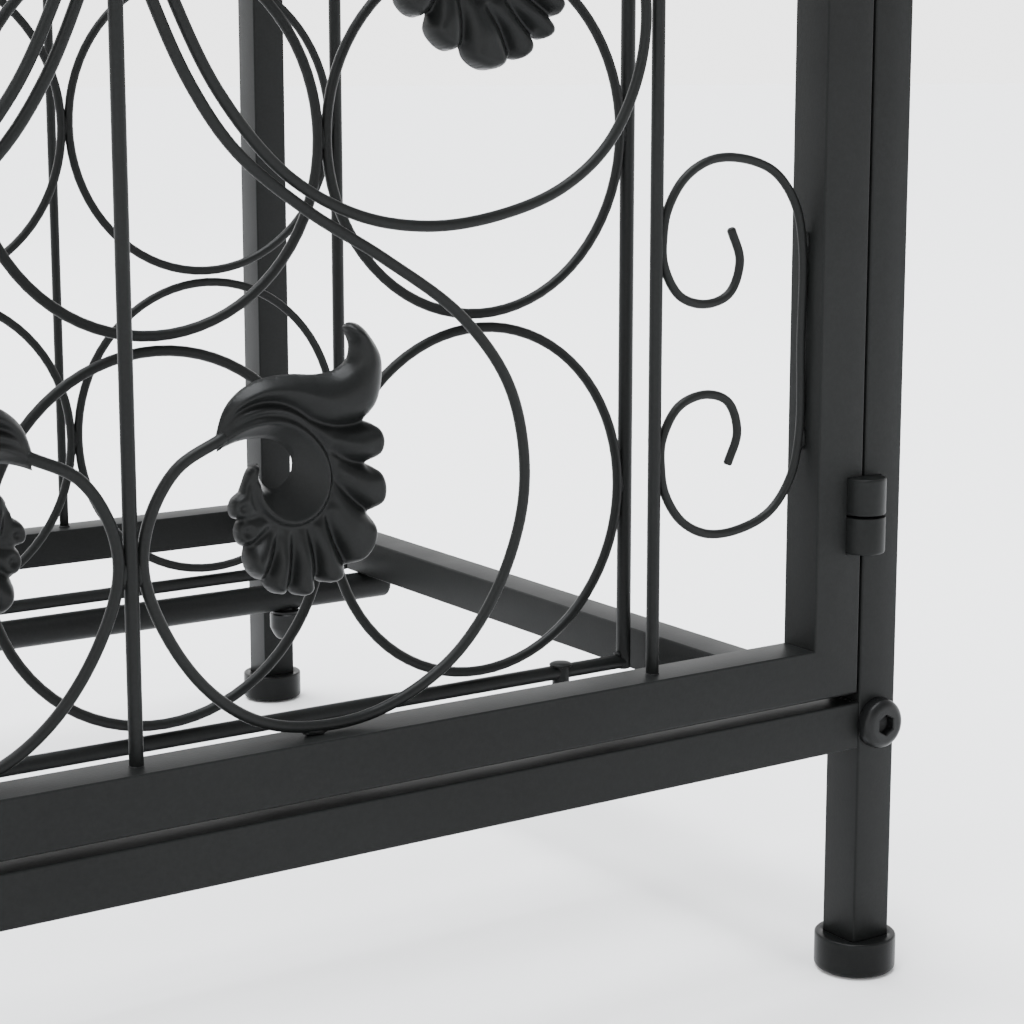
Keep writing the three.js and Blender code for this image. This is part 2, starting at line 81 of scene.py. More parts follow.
def coat(name, colour, roughness, grain, bump, specular=0.5, clear=0.0, streak=0.0):
    """Powder coat, blackened steel or moulded plastic.

    The tone drifts, the gloss is patchy, and a fine grain with an orange-peel bump lies over it.
    clear is a thin lacquer, and streak adds the fine rings of a turned face.
    """
    mat = bpy.data.materials.new(name)
    mat.use_nodes = True
    nodes, links = mat.node_tree.nodes, mat.node_tree.links
    shader = nodes["Principled BSDF"]
    shader.inputs["Specular IOR Level"].default_value = specular
    shader.inputs["Coat Weight"].default_value = clear
    shader.inputs["Coat Roughness"].default_value = 0.3
    place = nodes.new("ShaderNodeTexCoord").outputs["Object"]

    def noise(scale, detail):
        node = nodes.new("ShaderNodeTexNoise")
        node.inputs["Scale"].default_value = scale
        node.inputs["Detail"].default_value = detail
        links.new(place, node.inputs["Vector"])
        return node.outputs["Fac"]

    def ramp(source, low, high, start, end):
        node = nodes.new("ShaderNodeValToRGB")
        node.color_ramp.elements[0].position = low
        node.color_ramp.elements[1].position = high
        node.color_ramp.elements[0].color = (*start, 1)
        node.color_ramp.elements[1].color = (*end, 1)
        links.new(source, node.inputs["Fac"])
        return node.outputs["Color"]

    dark = tuple(c * TONE_LOW for c in colour)
    light = tuple(c * TONE_HIGH for c in colour)
    tone = ramp(noise(TONE_SCALE, 3), 0.3, 0.7, dark, light)
    speck = ramp(noise(grain * SPECK_SCALE, 2), 0.35, 0.75, (SPECK_LOW,) * 3, (SPECK_HIGH,) * 3)
    mix = nodes.new("ShaderNodeMix")
    mix.data_type = "RGBA"
    mix.blend_type = "MULTIPLY"
    mix.inputs["Factor"].default_value = 1.0
    links.new(tone, mix.inputs["A"])
    links.new(speck, mix.inputs["B"])
    links.new(mix.outputs["Result"], shader.inputs["Base Color"])

    gloss = nodes.new("ShaderNodeMapRange")
    gloss.inputs["To Min"].default_value = roughness - GLOSS_BELOW
    gloss.inputs["To Max"].default_value = roughness + GLOSS_ABOVE
    links.new(noise(GLOSS_SCALE, 4), gloss.inputs["Value"])
    links.new(gloss.outputs["Result"], shader.inputs["Roughness"])

    peel = nodes.new("ShaderNodeBump")
    peel.inputs["Strength"].default_value = bump
    peel.inputs["Distance"].default_value = PEEL_DEPTH
    links.new(noise(grain, 3), peel.inputs["Height"])
    last = peel
    if streak:
        ring = nodes.new("ShaderNodeTexWave")
        ring.wave_type = "RINGS"
        ring.rings_direction = "Y"
        ring.inputs["Scale"].default_value = STREAK_SCALE
        ring.inputs["Distortion"].default_value = STREAK_DISTORTION
        links.new(place, ring.inputs["Vector"])
        last = nodes.new("ShaderNodeBump")
        last.inputs["Strength"].default_value = streak
        last.inputs["Distance"].default_value = STREAK_DEPTH
        links.new(ring.outputs["Fac"], last.inputs["Height"])
        links.new(peel.outputs["Normal"], last.inputs["Normal"])
    links.new(last.outputs["Normal"], shader.inputs["Normal"])
    return mat


BLACK = (0.0062, 0.0067, 0.0065)
LEAF_BLACK = (0.0052, 0.0056, 0.0055)
WELD_BLACK = (0.0056, 0.0060, 0.0059)
BOLT_BLACK = (0.0060, 0.0064, 0.0064)
FOOT_BLACK = (0.0048, 0.0052, 0.0051)
NUT_BLACK = (0.0058, 0.0062, 0.0062)
powder = coat("powder_coat", BLACK, 0.45, 1500, 0.22, specular=0.092)
powder_wire = coat("powder_coat_wire", BLACK, 0.43, 2200, 0.14, specular=0.10)
powder_leaf = coat("powder_coat_leaf", LEAF_BLACK, 0.38, 2400, 0.12, specular=0.11)
weld_coat = coat("powder_coat_weld", WELD_BLACK, 0.46, 900, 0.5, specular=0.1)
bolt_black = coat("black_bolt_steel", BOLT_BLACK, 0.36, 2600, 0.12, specular=0.125, clear=0.03,
                  streak=0.25)
foot_plastic = coat("foot_plastic", FOOT_BLACK, 0.33, 3200, 0.25, specular=0.095)
nut_cap = coat("nut_cap_steel", NUT_BLACK, 0.32, 2600, 0.1, specular=0.14, clear=0.04)

# ---- Meshes ----------------------------------------------------------------------------------


WELD_DISTANCE = 1e-6
CREASE = 38


def finished(bm, name, material, body, replaced=(), sharp=CREASE):
    """A smooth-shaded object with creases kept crisp, riding on its body."""
    bmesh.ops.remove_doubles(bm, verts=bm.verts, dist=WELD_DISTANCE)
    bmesh.ops.recalc_face_normals(bm, faces=bm.faces)
    limit = math.radians(sharp)
    for face in bm.faces:
        face.smooth = True
    for edge in bm.edges:
        if len(edge.link_faces) == 2 and edge.calc_face_angle(0) > limit:
            edge.smooth = False
    mesh = bpy.data.meshes.new(name)
    bm.to_mesh(mesh)
    bm.free()
    mesh.materials.append(material)
    obj = bpy.data.objects.new(name, mesh)
    bpy.context.scene.collection.objects.link(obj)
    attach(obj, body)
    if replaced:
        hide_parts(*replaced)
    return obj


def loft(bm, loops, wrap=False):
    """Skins loops of equally many points; the ends are closed, or joined to each other by wrap."""
    rings = [[bm.verts.new(p) for p in loop] for loop in loops]
    n = len(rings[0])
    pairs = list(zip(rings, rings[1:]))
    if wrap:
        pairs.append((rings[-1], rings[0]))
    for a, b in pairs:
        for i in range(n):
            j = (i + 1) % n
            bm.faces.new((a[i], a[j], b[j], b[i]))
    if not wrap:
        bm.faces.new(rings[0][::-1])
        bm.faces.new(rings[-1])


SIDES_ROUND = 48


def circle(radius, n=SIDES_ROUND):
    angles = [2 * math.pi * i / n for i in range(n)]
    return [(radius * math.cos(t), radius * math.sin(t)) for t in angles]


def polygon_loop(radius, corners, n=SIDES_ROUND):
    """n points along a regular polygon of the given inner radius, in step with circle()."""
    step = 2 * math.pi / corners
    points = []
    for i in range(n):
        angle = 2 * math.pi * i / n
        off = (angle + step / 2) % step - step / 2
        r = radius / math.cos(off)
        points.append((r * math.cos(angle), r * math.sin(angle)))
    return points


def square_loop(half, radius, n=SIDES_ROUND):
    """n points round a square with rounded corners, in step with circle()."""
    points = []
    for i in range(n):
        angle = 2 * math.pi * i / n
        c, s = math.cos(angle), math.sin(angle)
        reach = half / max(abs(c), abs(s))
        x, y = reach * c, reach * s
        cx, cy = max(abs(x) - (half - radius), 0), max(abs(y) - (half - radius), 0)
        if cx > 0 and cy > 0:
            k = radius / math.hypot(cx, cy)
            x = math.copysign(half - radius + cx * k, x)
            y = math.copysign(half - radius + cy * k, y)
        points.append((x, y))
    return points


AXES = {
    "z": lambda a, b, h: (a, b, h), "-z": lambda a, b, h: (a, -b, -h),
    "x": lambda a, b, h: (h, a, b), "-x": lambda a, b, h: (-h, -a, b),
    "-y": lambda a, b, h: (a, -h, b), "y": lambda a, b, h: (-a, h, b),
}


def moved(centre, offset):
    return at(*(c + d for c, d in zip(centre, offset)))


def turned(bm, centre, axis, sections):
    """Skins (loop, height) sections stacked from centre along axis."""
    put = AXES[axis]
    loops = []
    for loop, height in sections:
        loops.append([moved(centre, put(a, b, height)) for a, b in loop])
    loft(bm, loops)


def fillet(radius, height, r, steps=5):
    """(radius, height) points of a quarter-round edge, from the full radius to the full height."""
    points = []
    for i in range(steps + 1):
        t = math.pi / 2 * i / steps
        points.append((radius - r + r * math.cos(t), height + (r * math.sin(t) - r)))
    return points


QUADRANTS = ((1, 1), (-1, 1), (-1, -1), (1, -1))


def rounded_rect(w, d, r, steps=5):
    """Points round a w by d rectangle with corners of radius r, about its centre."""
    points = []
    for k, (sx, sy) in enumerate(QUADRANTS):
        for i in range(steps + 1):
            t = math.pi / 2 * (k + i / steps)
            points.append((sx * (w / 2 - r) + r * math.cos(t), sy * (d / 2 - r) + r * math.sin(t)))
    return points


def bar(bm, lo, hi, axis, radius, ease=0.0):
    """The closed outside of a square tube from corner lo to corner hi; ease rounds its ends."""
    i = "xyz".index(axis)
    a, b = [k for k in range(3) if k != i]
    centre = [(p + q) / 2 for p, q in zip(lo, hi)]
    size = [q - p for p, q in zip(lo, hi)]
    shapes = [(0, 0)] if not ease else [(ease, 0), (ease * 0.3, ease * 0.3), (0, ease)]
    spots = [(inset, lo[i] + rise) for inset, rise in shapes]
    spots += [(inset, hi[i] - rise) for inset, rise in reversed(shapes)]
    loops = []
    for inset, along in spots:
        loop = []
        for u, v in rounded_rect(size[a] - 2 * inset, size[b] - 2 * inset, radius - inset * 0.5):
            p = [0, 0, 0]
            p[i], p[a], p[b] = along, centre[a] + u, centre[b] + v
            loop.append(at(*p))
        loops.append(loop)
    loft(bm, loops)


def catmull(points, per_span):
    """A centripetal Catmull-Rom curve through [x, z] points."""
    pts = [np.array(p, float) for p in points]
    pts = [2 * pts[0] - pts[1], *pts, 2 * pts[-1] - pts[-2]]
    out = []
    for p0, p1, p2, p3 in zip(pts, pts[1:], pts[2:], pts[3:]):
        t1 = np.linalg.norm(p1 - p0) ** 0.5
        t2 = t1 + np.linalg.norm(p2 - p1) ** 0.5
        t3 = t2 + np.linalg.norm(p3 - p2) ** 0.5
        for k in range(per_span):
            t = t1 + (t2 - t1) * k / per_span
            a1 = (t1 - t) / t1 * p0 + t / t1 * p1
            a2 = (t2 - t) / (t2 - t1) * p1 + (t - t1) / (t2 - t1) * p2
            a3 = (t3 - t) / (t3 - t2) * p2 + (t - t2) / (t3 - t2) * p3
            b1 = (t2 - t) / t2 * a1 + t / t2 * a2
            b2 = (t3 - t) / (t3 - t1) * a2 + (t - t1) / (t3 - t1) * a3
            out.append((t2 - t) / (t2 - t1) * b1 + (t - t1) / (t2 - t1) * b2)
    out.append(pts[-2])
    return out


END_REACH, END_SCALE = 0.35, 0.72


def wire(bm, line, y, diameter, sides=12, closed=False):
    """A round wire along [x, z] points in the upright plane at y, with softly rounded ends."""
    line = [np.array(p, float) for p in line]
    r = diameter / 2
    loops = []
    n = len(line)
    stops = [(line[k], k, 1.0) for k in range(n)]
    if not closed:
        head = line[0] - line[1]
        tail = line[-1] - line[-2]
        head, tail = head / np.linalg.norm(head), tail / np.linalg.norm(tail)
        ease = END_REACH * r
        stops.insert(0, (line[0] + head * ease, 0, END_SCALE))
        stops.append((line[-1] + tail * ease, n - 1, END_SCALE))
    for p, k, scale in stops:
        before = line[(k - 1) % n] if closed or k > 0 else line[k]
        after = line[(k + 1) % n] if closed or k < n - 1 else line[k]
        along = after - before
        along = along / np.linalg.norm(along)
        normal = np.array((-along[1], along[0]))
        loop = []
        for i in range(sides):
            t = 2 * math.pi * i / sides
            q = p + normal * r * scale * math.cos(t)
            loop.append(at(q[0], y + r * scale * math.sin(t), q[1]))
        loops.append(loop)
    loft(bm, loops, wrap=closed)


def rod(bm, a, b, diameter, sides=20, ease=0.3):
    """A straight round rod from a to b, parallel to an axis, with eased ends."""
    i = max(range(3), key=lambda k: abs(b[k] - a[k]))
    length = b[i] - a[i]
    r = diameter / 2
    start = [(r - ease, 0), (r - ease * 0.3, ease * 0.3), (r, ease)]
    end = [(r, length - ease), (r - ease * 0.3, length - ease * 0.3), (r - ease, length)]
    turned(bm, a, "xyz"[i], [(circle(radius, sides), height) for radius, height in start + end])


BEAD_SINK = 0.15


def bead(bm, centre, axis, radius, reach, seed=0, sides=24):
    """A lumpy weld collar round a rod: a flattened ring that sits at centre, normal to axis."""
    put = AXES[axis]
    loops = []
    for k in range(sides):
        t = 2 * math.pi * k / sides
        lump = 1 + 0.16 * math.sin(5 * t + seed) + 0.09 * math.sin(9 * t + 2.3 * seed)
        loop = []
        for m in range(6):
            s = math.pi * m / 5
            r = radius - BEAD_SINK + reach * lump * math.cos(s / 2)
            h = reach * lump * math.sin(s / 2)
            loop.append(moved(centre, put(r * math.cos(t), r * math.sin(t), h)))
        r = radius - 2 * BEAD_SINK
        loop.append(moved(centre, put(r * math.cos(t), r * math.sin(t), -0.1)))
        loops.append(loop)
    loft(bm, loops, wrap=True)


def blob(bm, centre, size):
    """A small weld fillet between two touching wires."""
    made = bmesh.ops.create_icosphere(bm, subdivisions=3, radius=1)["verts"]
    for v in made:
        x, y, z = v.co
        lump = 1 + 0.07 * math.sin(5 * x + 3 * z + centre[0])
        lump += 0.05 * math.sin(7 * z - 4 * y + centre[2])
        v.co = moved(centre, (x * size[0] * lump, y * size[1] * lump, z * size[2] * lump))


def cut(obj, centre, radius, length):
    """Cuts an upright cylinder out of obj."""
    bm = bmesh.new()
    base = (centre[0], centre[1], centre[2] - length / 2)
    turned(bm, base, "z", [(circle(radius, 40), height) for height in (0, length)])
    bmesh.ops.recalc_face_normals(bm, faces=bm.faces)
    mesh = bpy.data.meshes.new("cutter")
    bm.to_mesh(mesh)
    bm.free()
    tool = bpy.data.objects.new("cutter", mesh)
    bpy.context.scene.collection.objects.link(tool)
    mod = obj.modifiers.new("notch", "BOOLEAN")
    mod.object = tool
    mod.solver = "EXACT"
    bpy.context.view_layer.update()
    depsgraph = bpy.context.evaluated_depsgraph_get()
    shaped = bpy.data.meshes.new_from_object(obj.evaluated_get(depsgraph))
    obj.modifiers.clear()
    obj.data = shaped
    bpy.data.objects.remove(tool)


# ---- Frame -----------------------------------------------------------------------------------

CORNER = 0.6
POST_END_EASE = 0.6
ROD = 3.4
KNUCKLE_RADIUS, KNUCKLE = 6.0, 10.4
NOTCH_RADIUS, NOTCH_LENGTH = 6.07, 20.96
POST_X = sum(p[0] for p in node_box("post_front_right")) / 2
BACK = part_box("post_back_left")[1][1] / MM - FRONT
HINGE_Z = [node_box(f"hinge_{level}_post_knuckle")[0][2] + KNUCKLE for level in LEVELS]
HINGE_X = sum(p[0] for p in node_box("hinge_bottom_post_knuckle")) / 2
DOOR_Y = 6.5
DOOR_MIDDLE = sum(p[2] for p in node_box("door_stile_left")) / 2

for end in ENDS:
    for side, _ in SIDES:
        lo, hi = node_box(f"post_{end}_{side}")
        bm = bmesh.new()
        bar(bm, lo, hi, "z", CORNER, ease=POST_END_EASE)
        post = finished(bm, f"post_tube_{end}_{side}", powder, "frame",
                        [f"post_{end}_{side}"])
        if (end, side) == ("front", "right"):
            for z in HINGE_Z:
                cut(post, (HINGE_X, 0, z), NOTCH_RADIUS, NOTCH_LENGTH)

for level in LEVELS:
    for end in ENDS:
        lo, hi = node_box(f"rail_{end}_{level}")
        bm = bmesh.new()
        bar(bm, lo, hi, "x", CORNER)
        finished(bm, f"rail_tube_{end}_{level}", powder, "frame",
                 [f"rail_{end}_{level}"])
    for side, _ in SIDES:
        lo, hi = node_box(f"rail_{side}_{level}")
        bm = bmesh.new()
        bar(bm, lo, hi, "y", CORNER)
        finished(bm, f"rail_tube_{side}_{level}", powder, "frame",
                 [f"rail_{side}_{level}"])

# Feet: a cup with an eased brim, a rounded underside and a square mouth round the post.
FOOT_ROUND, BRIM_ROUND = 1.3, 0.6
MOUTH = 6.62

for end in ENDS:
    for side, _ in SIDES:
        lo, hi = node_box(f"foot_{end}_{side}")
        x, y = (lo[0] + hi[0]) / 2, (lo[1] + hi[1]) / 2
        r, h = (hi[0] - lo[0]) / 2, hi[2] - lo[2]
        profile = [(r - 3.2, 0.5), (r - 2.6, 0.0), (r - FOOT_ROUND, 0.0)]
        for t in (0.3, 0.6, 0.9, 1.2):
            profile.append((r - FOOT_ROUND + FOOT_ROUND * math.sin(t),
                            FOOT_ROUND - FOOT_ROUND * math.cos(t)))
        profile += [(r, 1.5)] + fillet(r, h, BRIM_ROUND) + [(r - 1.4, h - 0.01)]
        sections = [(circle(radius), z) for radius, z in profile]
        sections += [(square_loop(7.0, 1.3), h - 0.06), (square_loop(6.72, 1.1), h - 0.2)]
        sections += [(square_loop(MOUTH, 1.05), h - 0.6), (square_loop(MOUTH, 1.05), 2.6)]
        bm = bmesh.new()
        turned(bm, (x, y, 0), "z", sections)
        finished(bm, f"foot_cap_{end}_{side}", foot_plastic, "frame",
                 [f"foot_{end}_{side}"])


SOCKET = 2.5


def button_bolt(bm, centre, axis, radius=7.0, height=4.2):
    """A button-head screw: flange rim, dome, flat face and a hex socket."""
    rim = 1.75
    dome = [(radius - 0.5, 0.0), (radius - 0.12, 0.12), (radius, 0.45), (radius, 1.35),
            (radius - 0.1, rim)]
    for t in (0.2, 0.4, 0.6, 0.8, 1.0):
        angle = t * math.pi / 2.6
        dome.append((radius * 0.56 + radius * 0.43 * math.cos(angle),
                     rim + (height - 1.8) * math.sin(angle) / 0.935))
    dome += [(radius * 0.64, height - 0.02), (radius * 0.58, height)]
    sections = [(circle(r), h) for r, h in dome]
    for half, depth in ((SOCKET + 0.28, 0), (SOCKET, 0.3), (SOCKET, 2.6)):
        sections.append((polygon_loop(half, 6), height - depth))
    sections += [(circle(SOCKET - 0.6), height - 2.75), (circle(0.4), height - 3.4)]
    turned(bm, centre, axis, sections)


for level in LEVELS:
    for side, _ in SIDES:
        for end in ENDS:
            node = f"bolt_{end}_{side}_{level}"
            lo, hi = node_box(node)
            x, z = (lo[0] + hi[0]) / 2, (lo[2] + hi[2]) / 2
            y, axis = (0, "-y") if end == "front" else (BACK, "y")
            bm = bmesh.new()
            button_bolt(bm, (x, y, z), axis)
            finished(bm, f"button_bolt_{end}_{side}_{level}", bolt_black, "frame",
                     [node])

# Back rods with their small weld collars.  They reach into the rails by ROD_SINK.
ROD_SINK = 0.25
COLLAR = 0.55

for i in range(1, 5):
    lo, hi = node_box(f"back_rod_{i}")
    x, y = (lo[0] + hi[0]) / 2, (lo[1] + hi[1]) / 2
    bm = bmesh.new()
    low, high = (x, y, lo[2] - ROD_SINK), (x, y, hi[2] + ROD_SINK)
    rod(bm, low, high, ROD)
    bead(bm, low, "z", ROD / 2, COLLAR, i)
    bead(bm, high, "-z", ROD / 2, COLLAR, i + 4)
    finished(bm, f"back_stop_rod_{i}", powder_wire, "frame", [f"back_rod_{i}"])

# ---- Bottle grids ----------------------------------------------------------------------------

COLUMNS, ROWS = 4, 6
RING_W, RING_H, RING_WIRE = 102.4, 104.6, 3.0
RING_STEPS = 72
RING_AHEAD = 0.7  # the rings' middle lies this far in front of the grid wire's middle
COLUMN_PITCH, ROW_PITCH = 102.0, 105.6
FIRST_ROW = 73.6 + RING_H / 2
GRID_WIRE = 4.4
GRID_MARGIN = 3.35
STUD_X = 182.5
STUD = 2.55
STUD_PAST_TUBE = 5.2


def ring(bm, x, y, z):
    half_w, half_h = (RING_W - RING_WIRE) / 2, (RING_H - RING_WIRE) / 2
    line = []
    for i in range(RING_STEPS):
        t = 2 * math.pi * i / RING_STEPS
        line.append((x + half_w * math.cos(t), z + half_h * math.sin(t)))
    wire(bm, line, y, RING_WIRE, 10, closed=True)


def grid(end):
    """A welded grid: a frame of wire, 24 rings with weld spots between them, and four studs."""
    edge = node_box(f"bottle_grid_{end}")[1][0] - GRID_WIRE / 2
    tube_low, tube_high = (node_box(f"cross_tube_{end}_{level}") for level in LEVELS)
    y = (tube_low[0][1] + tube_low[1][1]) / 2
    r = GRID_WIRE / 2
    low = FIRST_ROW - RING_H / 2 - GRID_MARGIN
    high = FIRST_ROW + (ROWS - 1) * ROW_PITCH + RING_H / 2 + GRID_MARGIN
    bm = bmesh.new()
    for sx in (-1, 1):
        rod(bm, (sx * edge, y, low - r), (sx * edge, y, high + r), GRID_WIRE)
        for z in (low + r + 0.1, high - r - 0.1):
            blob(bm, (sx * (edge - r - 0.1), y, z), (0.9, 1.5, 0.9))
    for z in (low, high):
        rod(bm, (-edge, y, z), (edge, y, z), GRID_WIRE)
    for row in range(ROWS):
        z = FIRST_ROW + row * ROW_PITCH
        for column in range(COLUMNS):
            ring(bm, (column - 1.5) * COLUMN_PITCH, y - RING_AHEAD, z)
        for k in range(COLUMNS - 1):
            blob(bm, ((k - 1) * COLUMN_PITCH, y - RING_AHEAD, z), (0.9, 1.25, 3.4))
        for sx in (-1, 1):
            blob(bm, (sx * (edge - r + 0.1), y - 0.4, z), (1.0, 1.4, 3.2))
    for sx in (-1, 1):
        # Mushroom-headed studs sit on the wire and run through the cross tubes into their nuts.
        for z, axis, tube_end in ((low, "-z", tube_low[0][2]), (high, "z", tube_high[1][2])):
            head = [(0.3, -3.1), (1.6, -3.05), (2.9, -2.8), (3.45, -2.45), (3.5, -2.1),
                    (3.3, -1.8), (2.6, -1.6)]
            reach = abs(z - tube_end) + STUD_PAST_TUBE
            sections = [(circle(a, 32), b) for a, b in head + [(STUD, reach)]]
            turned(bm, (sx * STUD_X, y, z), axis, sections)
    finished(bm, f"bottle_rings_{end}", powder_wire, "frame", [f"bottle_grid_{end}"])


def cap_nut(bm, x, y, z, axis):
    """A domed cap nut on its thin washer; the washer lies on the tube at z."""
    r = 5.8
    washer = [(2.9, 0.25), (4.9, 0.3), (5.2, 0.45), (5.25, 1.1)]
    wall = [(r - 0.25, 1.25), (r, 1.5), (r, 6.2), (r - 0.12, 6.7)]
    cap = [(5.3, 7.6), (4.75, 8.7), (4.2, 9.6), (3.7, 10.3), (3.1, 10.75), (2.2, 10.95),
           (0.4, 11.0)]
    shape = washer + wall + cap
    turned(bm, (x, y, z), axis, [(circle(a), b) for a, b in shape])


CROSS_TUBE_RADIUS = 5.0

for end in ENDS:
    grid(end)
    for level in LEVELS:
        node = f"cross_tube_{end}_{level}"
        lo, hi = node_box(node)
        y, z, r = (lo[1] + hi[1]) / 2, (lo[2] + hi[2]) / 2, CROSS_TUBE_RADIUS
        nose = [(r - 2.2, 0.0), (r - 1.5, 0.12), (r - 0.9, 0.4), (r - 0.4, 0.85), (r - 0.1, 1.4),
                (r, 2.0)]
        length = hi[0] - lo[0]
        profile = nose + [(a, length - b) for a, b in reversed(nose)]
        bm = bmesh.new()
        turned(bm, (lo[0], y, z), "x", [(circle(a, 40), b) for a, b in profile])
        finished(bm, f"cross_tube_round_{end}_{level}", powder, "frame", [node])
        for side, sx in SIDES:
            bm = bmesh.new()
            down = level == "bottom"
            cap_nut(bm, sx * STUD_X, y, lo[2] if down else hi[2], "-z" if down else "z")
            gone = [f"grid_nut_{end}_{side}"] if down else []
            finished(bm, f"cap_nut_{end}_{side}_{level}", nut_cap, "frame",
                     gone)

# ---- Door ------------------------------------------------------------------------------------

STILE, DOOR_RAIL, DOOR_DEPTH = 16, 14, 13
OUTER_ROUND, INNER_ROUND = 1.1, 0.55
door_lo = node_box("door_stile_left")[0]
door_hi = node_box("door_stile_right")[1]


def door_frame():
    """One welded rectangle of tube, mitred at the corners and ground smooth."""
    corners = [(door_lo[0], door_lo[2], 1, 1), (door_hi[0], door_lo[2], -1, 1),
               (door_hi[0], door_hi[2], -1, -1), (door_lo[0], door_hi[2], 1, -1)]
    loops = []
    steps = 6
    section = []
    for k, (sx, sy) in enumerate(QUADRANTS):
        r = INNER_ROUND if sx > 0 else OUTER_ROUND
        for i in range(steps + 1):
            t = math.pi / 2 * (k + i / steps)
            section.append((sx, sy, r, math.cos(t), math.sin(t)))
    for x, z, ix, iz in corners:
        loop = []
        for sx, sy, r, a, b in section:
            across = 0.5 + 0.5 * sx  # 0 at the outer face, 1 at the inner face
            u = across * STILE - sx * r + a * r
            w = across * DOOR_RAIL - sx * r + a * r
            y = DOOR_DEPTH / 2 + sy * (DOOR_DEPTH / 2 - r) + b * r
            loop.append(at(x + ix * u, y, z + iz * w))
        loops.append(loop)
    bm = bmesh.new()
    loft(bm, loops, wrap=True)
    names = [f"door_stile_{side}" for side, _ in SIDES] + [f"door_rail_{level}" for level in LEVELS]
    obj = finished(bm, "door_tube_frame", powder, "door", names)
    for z in HINGE_Z:
        cut(obj, (HINGE_X, 0, z), NOTCH_RADIUS, NOTCH_LENGTH)


door_frame()

SCROLL_WIRE, C_WIRE = 2.8, 2.4
DOOR_BEAD = 0.3
DOOR_ROD_SINK = 0.2
SIDE_ROD_X = 145.5
rod_low, rod_high = door_lo[2] + DOOR_RAIL, door_hi[2] - DOOR_RAIL

# Lower halves of the long wire, which starts at the lower leaf, and of the short one, which
# starts at the upper leaf.  Both run up to the door's mid height.
long_scroll = [
    (23.5, 168.2), (11.6, 162), (4.6, 151), (3, 139.5), (8.3, 124.3), (18.5, 110), (31, 101),
    (46, 97.4), (64, 98.8), (84, 108.4), (97, 123.5), (104.6, 143), (104.9, 160), (100, 176),
    (86.8, 192.2), (66, 206.5), (45.5, 218.5), (28, 232), (17, 247), (7.6, 266.9), (-1, 290),
    (-11, 326), (-17.5, 364), (-19.5, DOOR_MIDDLE),
]
short_scroll = [
    (93.4, 297.2), (105.9, 302.5), (118.8, 301), (130.5, 293.3), (139, 278.5), (141.6, 262),
    (138.6, 246.5),
    (130, 231.6), (116.5, 221.5), (98, 215.5), (78, 213.6), (58.5, 217), (40, 227), (24, 245),
    (12.6, 267), (3.5, 290), (-9, 326), (-19, 364), (-23, DOOR_MIDDLE),
]
CURL_BACK, CURL_MIDDLE = 193.9, 178.9
CURL_TOUCH = 26  # a C-scroll is welded to rod and stile this far above and below its middle
# Half of a C-scroll, from the tip of its curl to the middle of its straight back.
curl = [
    (169.6, 148.5), (172.6, 156.5), (169.5, 164.6), (161.8, 167.2), (153, 164.6), (147.9, 156.5),
    (147.6, 149), (149, 142.5), (154.2, 135), (162.5, 130.6), (173, 130.4), (184, 134.2),
    (191, 142.5), (CURL_BACK, 154), (CURL_BACK, CURL_MIDDLE),
]


def doubled(half, middle):
    """A line and its mirror image above the height middle."""
    return list(half) + [(x, 2 * middle - z) for x, z in reversed(half[:-1])]


def door_rod(bm, x, seed):
    rod(bm, (x, DOOR_Y, rod_low - DOOR_ROD_SINK), (x, DOOR_Y, rod_high + DOOR_ROD_SINK), ROD)
    bead(bm, (x, DOOR_Y, rod_low), "z", ROD / 2, DOOR_BEAD, seed)
    bead(bm, (x, DOOR_Y, rod_high), "-z", ROD / 2, DOOR_BEAD, seed + 1)


bm = bmesh.new()
door_rod(bm, 0, 1)
for half in (long_scroll, short_scroll):
    line = catmull(doubled(half, DOOR_MIDDLE), 9)
    wire(bm, line, DOOR_Y, SCROLL_WIRE, 14)
    wire(bm, [(-x, z) for x, z in line], DOOR_Y, SCROLL_WIRE, 14)
# Weld spots: at the rod, at the bottom rail and where the long and the short wire meet.
spots = [
    ((1.9, 139.5), (1.0, 1.2, 3.0)),
    ((46, 96.2), (3.4, 1.3, 0.9)),
    ((9.4, 268), (1.5, 1.2, 3.4)),
]
for sign in (-1, 1):
    for top in (False, True):
        for (x, z), size in spots:
            blob(bm, (sign * x, DOOR_Y, 2 * DOOR_MIDDLE - z if top else z), size)
finished(bm, "door_scrolls", powder_wire, "door", ["door_scrollwork"])

for side, sx in SIDES:
    bm = bmesh.new()
    door_rod(bm, sx * SIDE_ROD_X, 3 + sx)
    for k in range(3):
        rise = k * (DOOR_MIDDLE - CURL_MIDDLE)
        line = [(sx * x, z + rise) for x, z in catmull(doubled(curl, CURL_MIDDLE), 8)]
        wire(bm, line, DOOR_Y, C_WIRE, 12)
        for z in (CURL_MIDDLE - CURL_TOUCH, CURL_MIDDLE + CURL_TOUCH):
            blob(bm, (sx * (SIDE_ROD_X + 1.3), DOOR_Y, z + rise), (1.0, 1.1, 2.6))
            blob(bm, (sx * (CURL_BACK + 1.0), DOOR_Y, z + rise), (0.9, 1.1, 3.2))
    finished(bm, f"door_side_curls_{side}", powder_wire, "door",
             [f"door_side_scroll_{side}"])

# ---- Leaves ----------------------------------------------------------------------------------

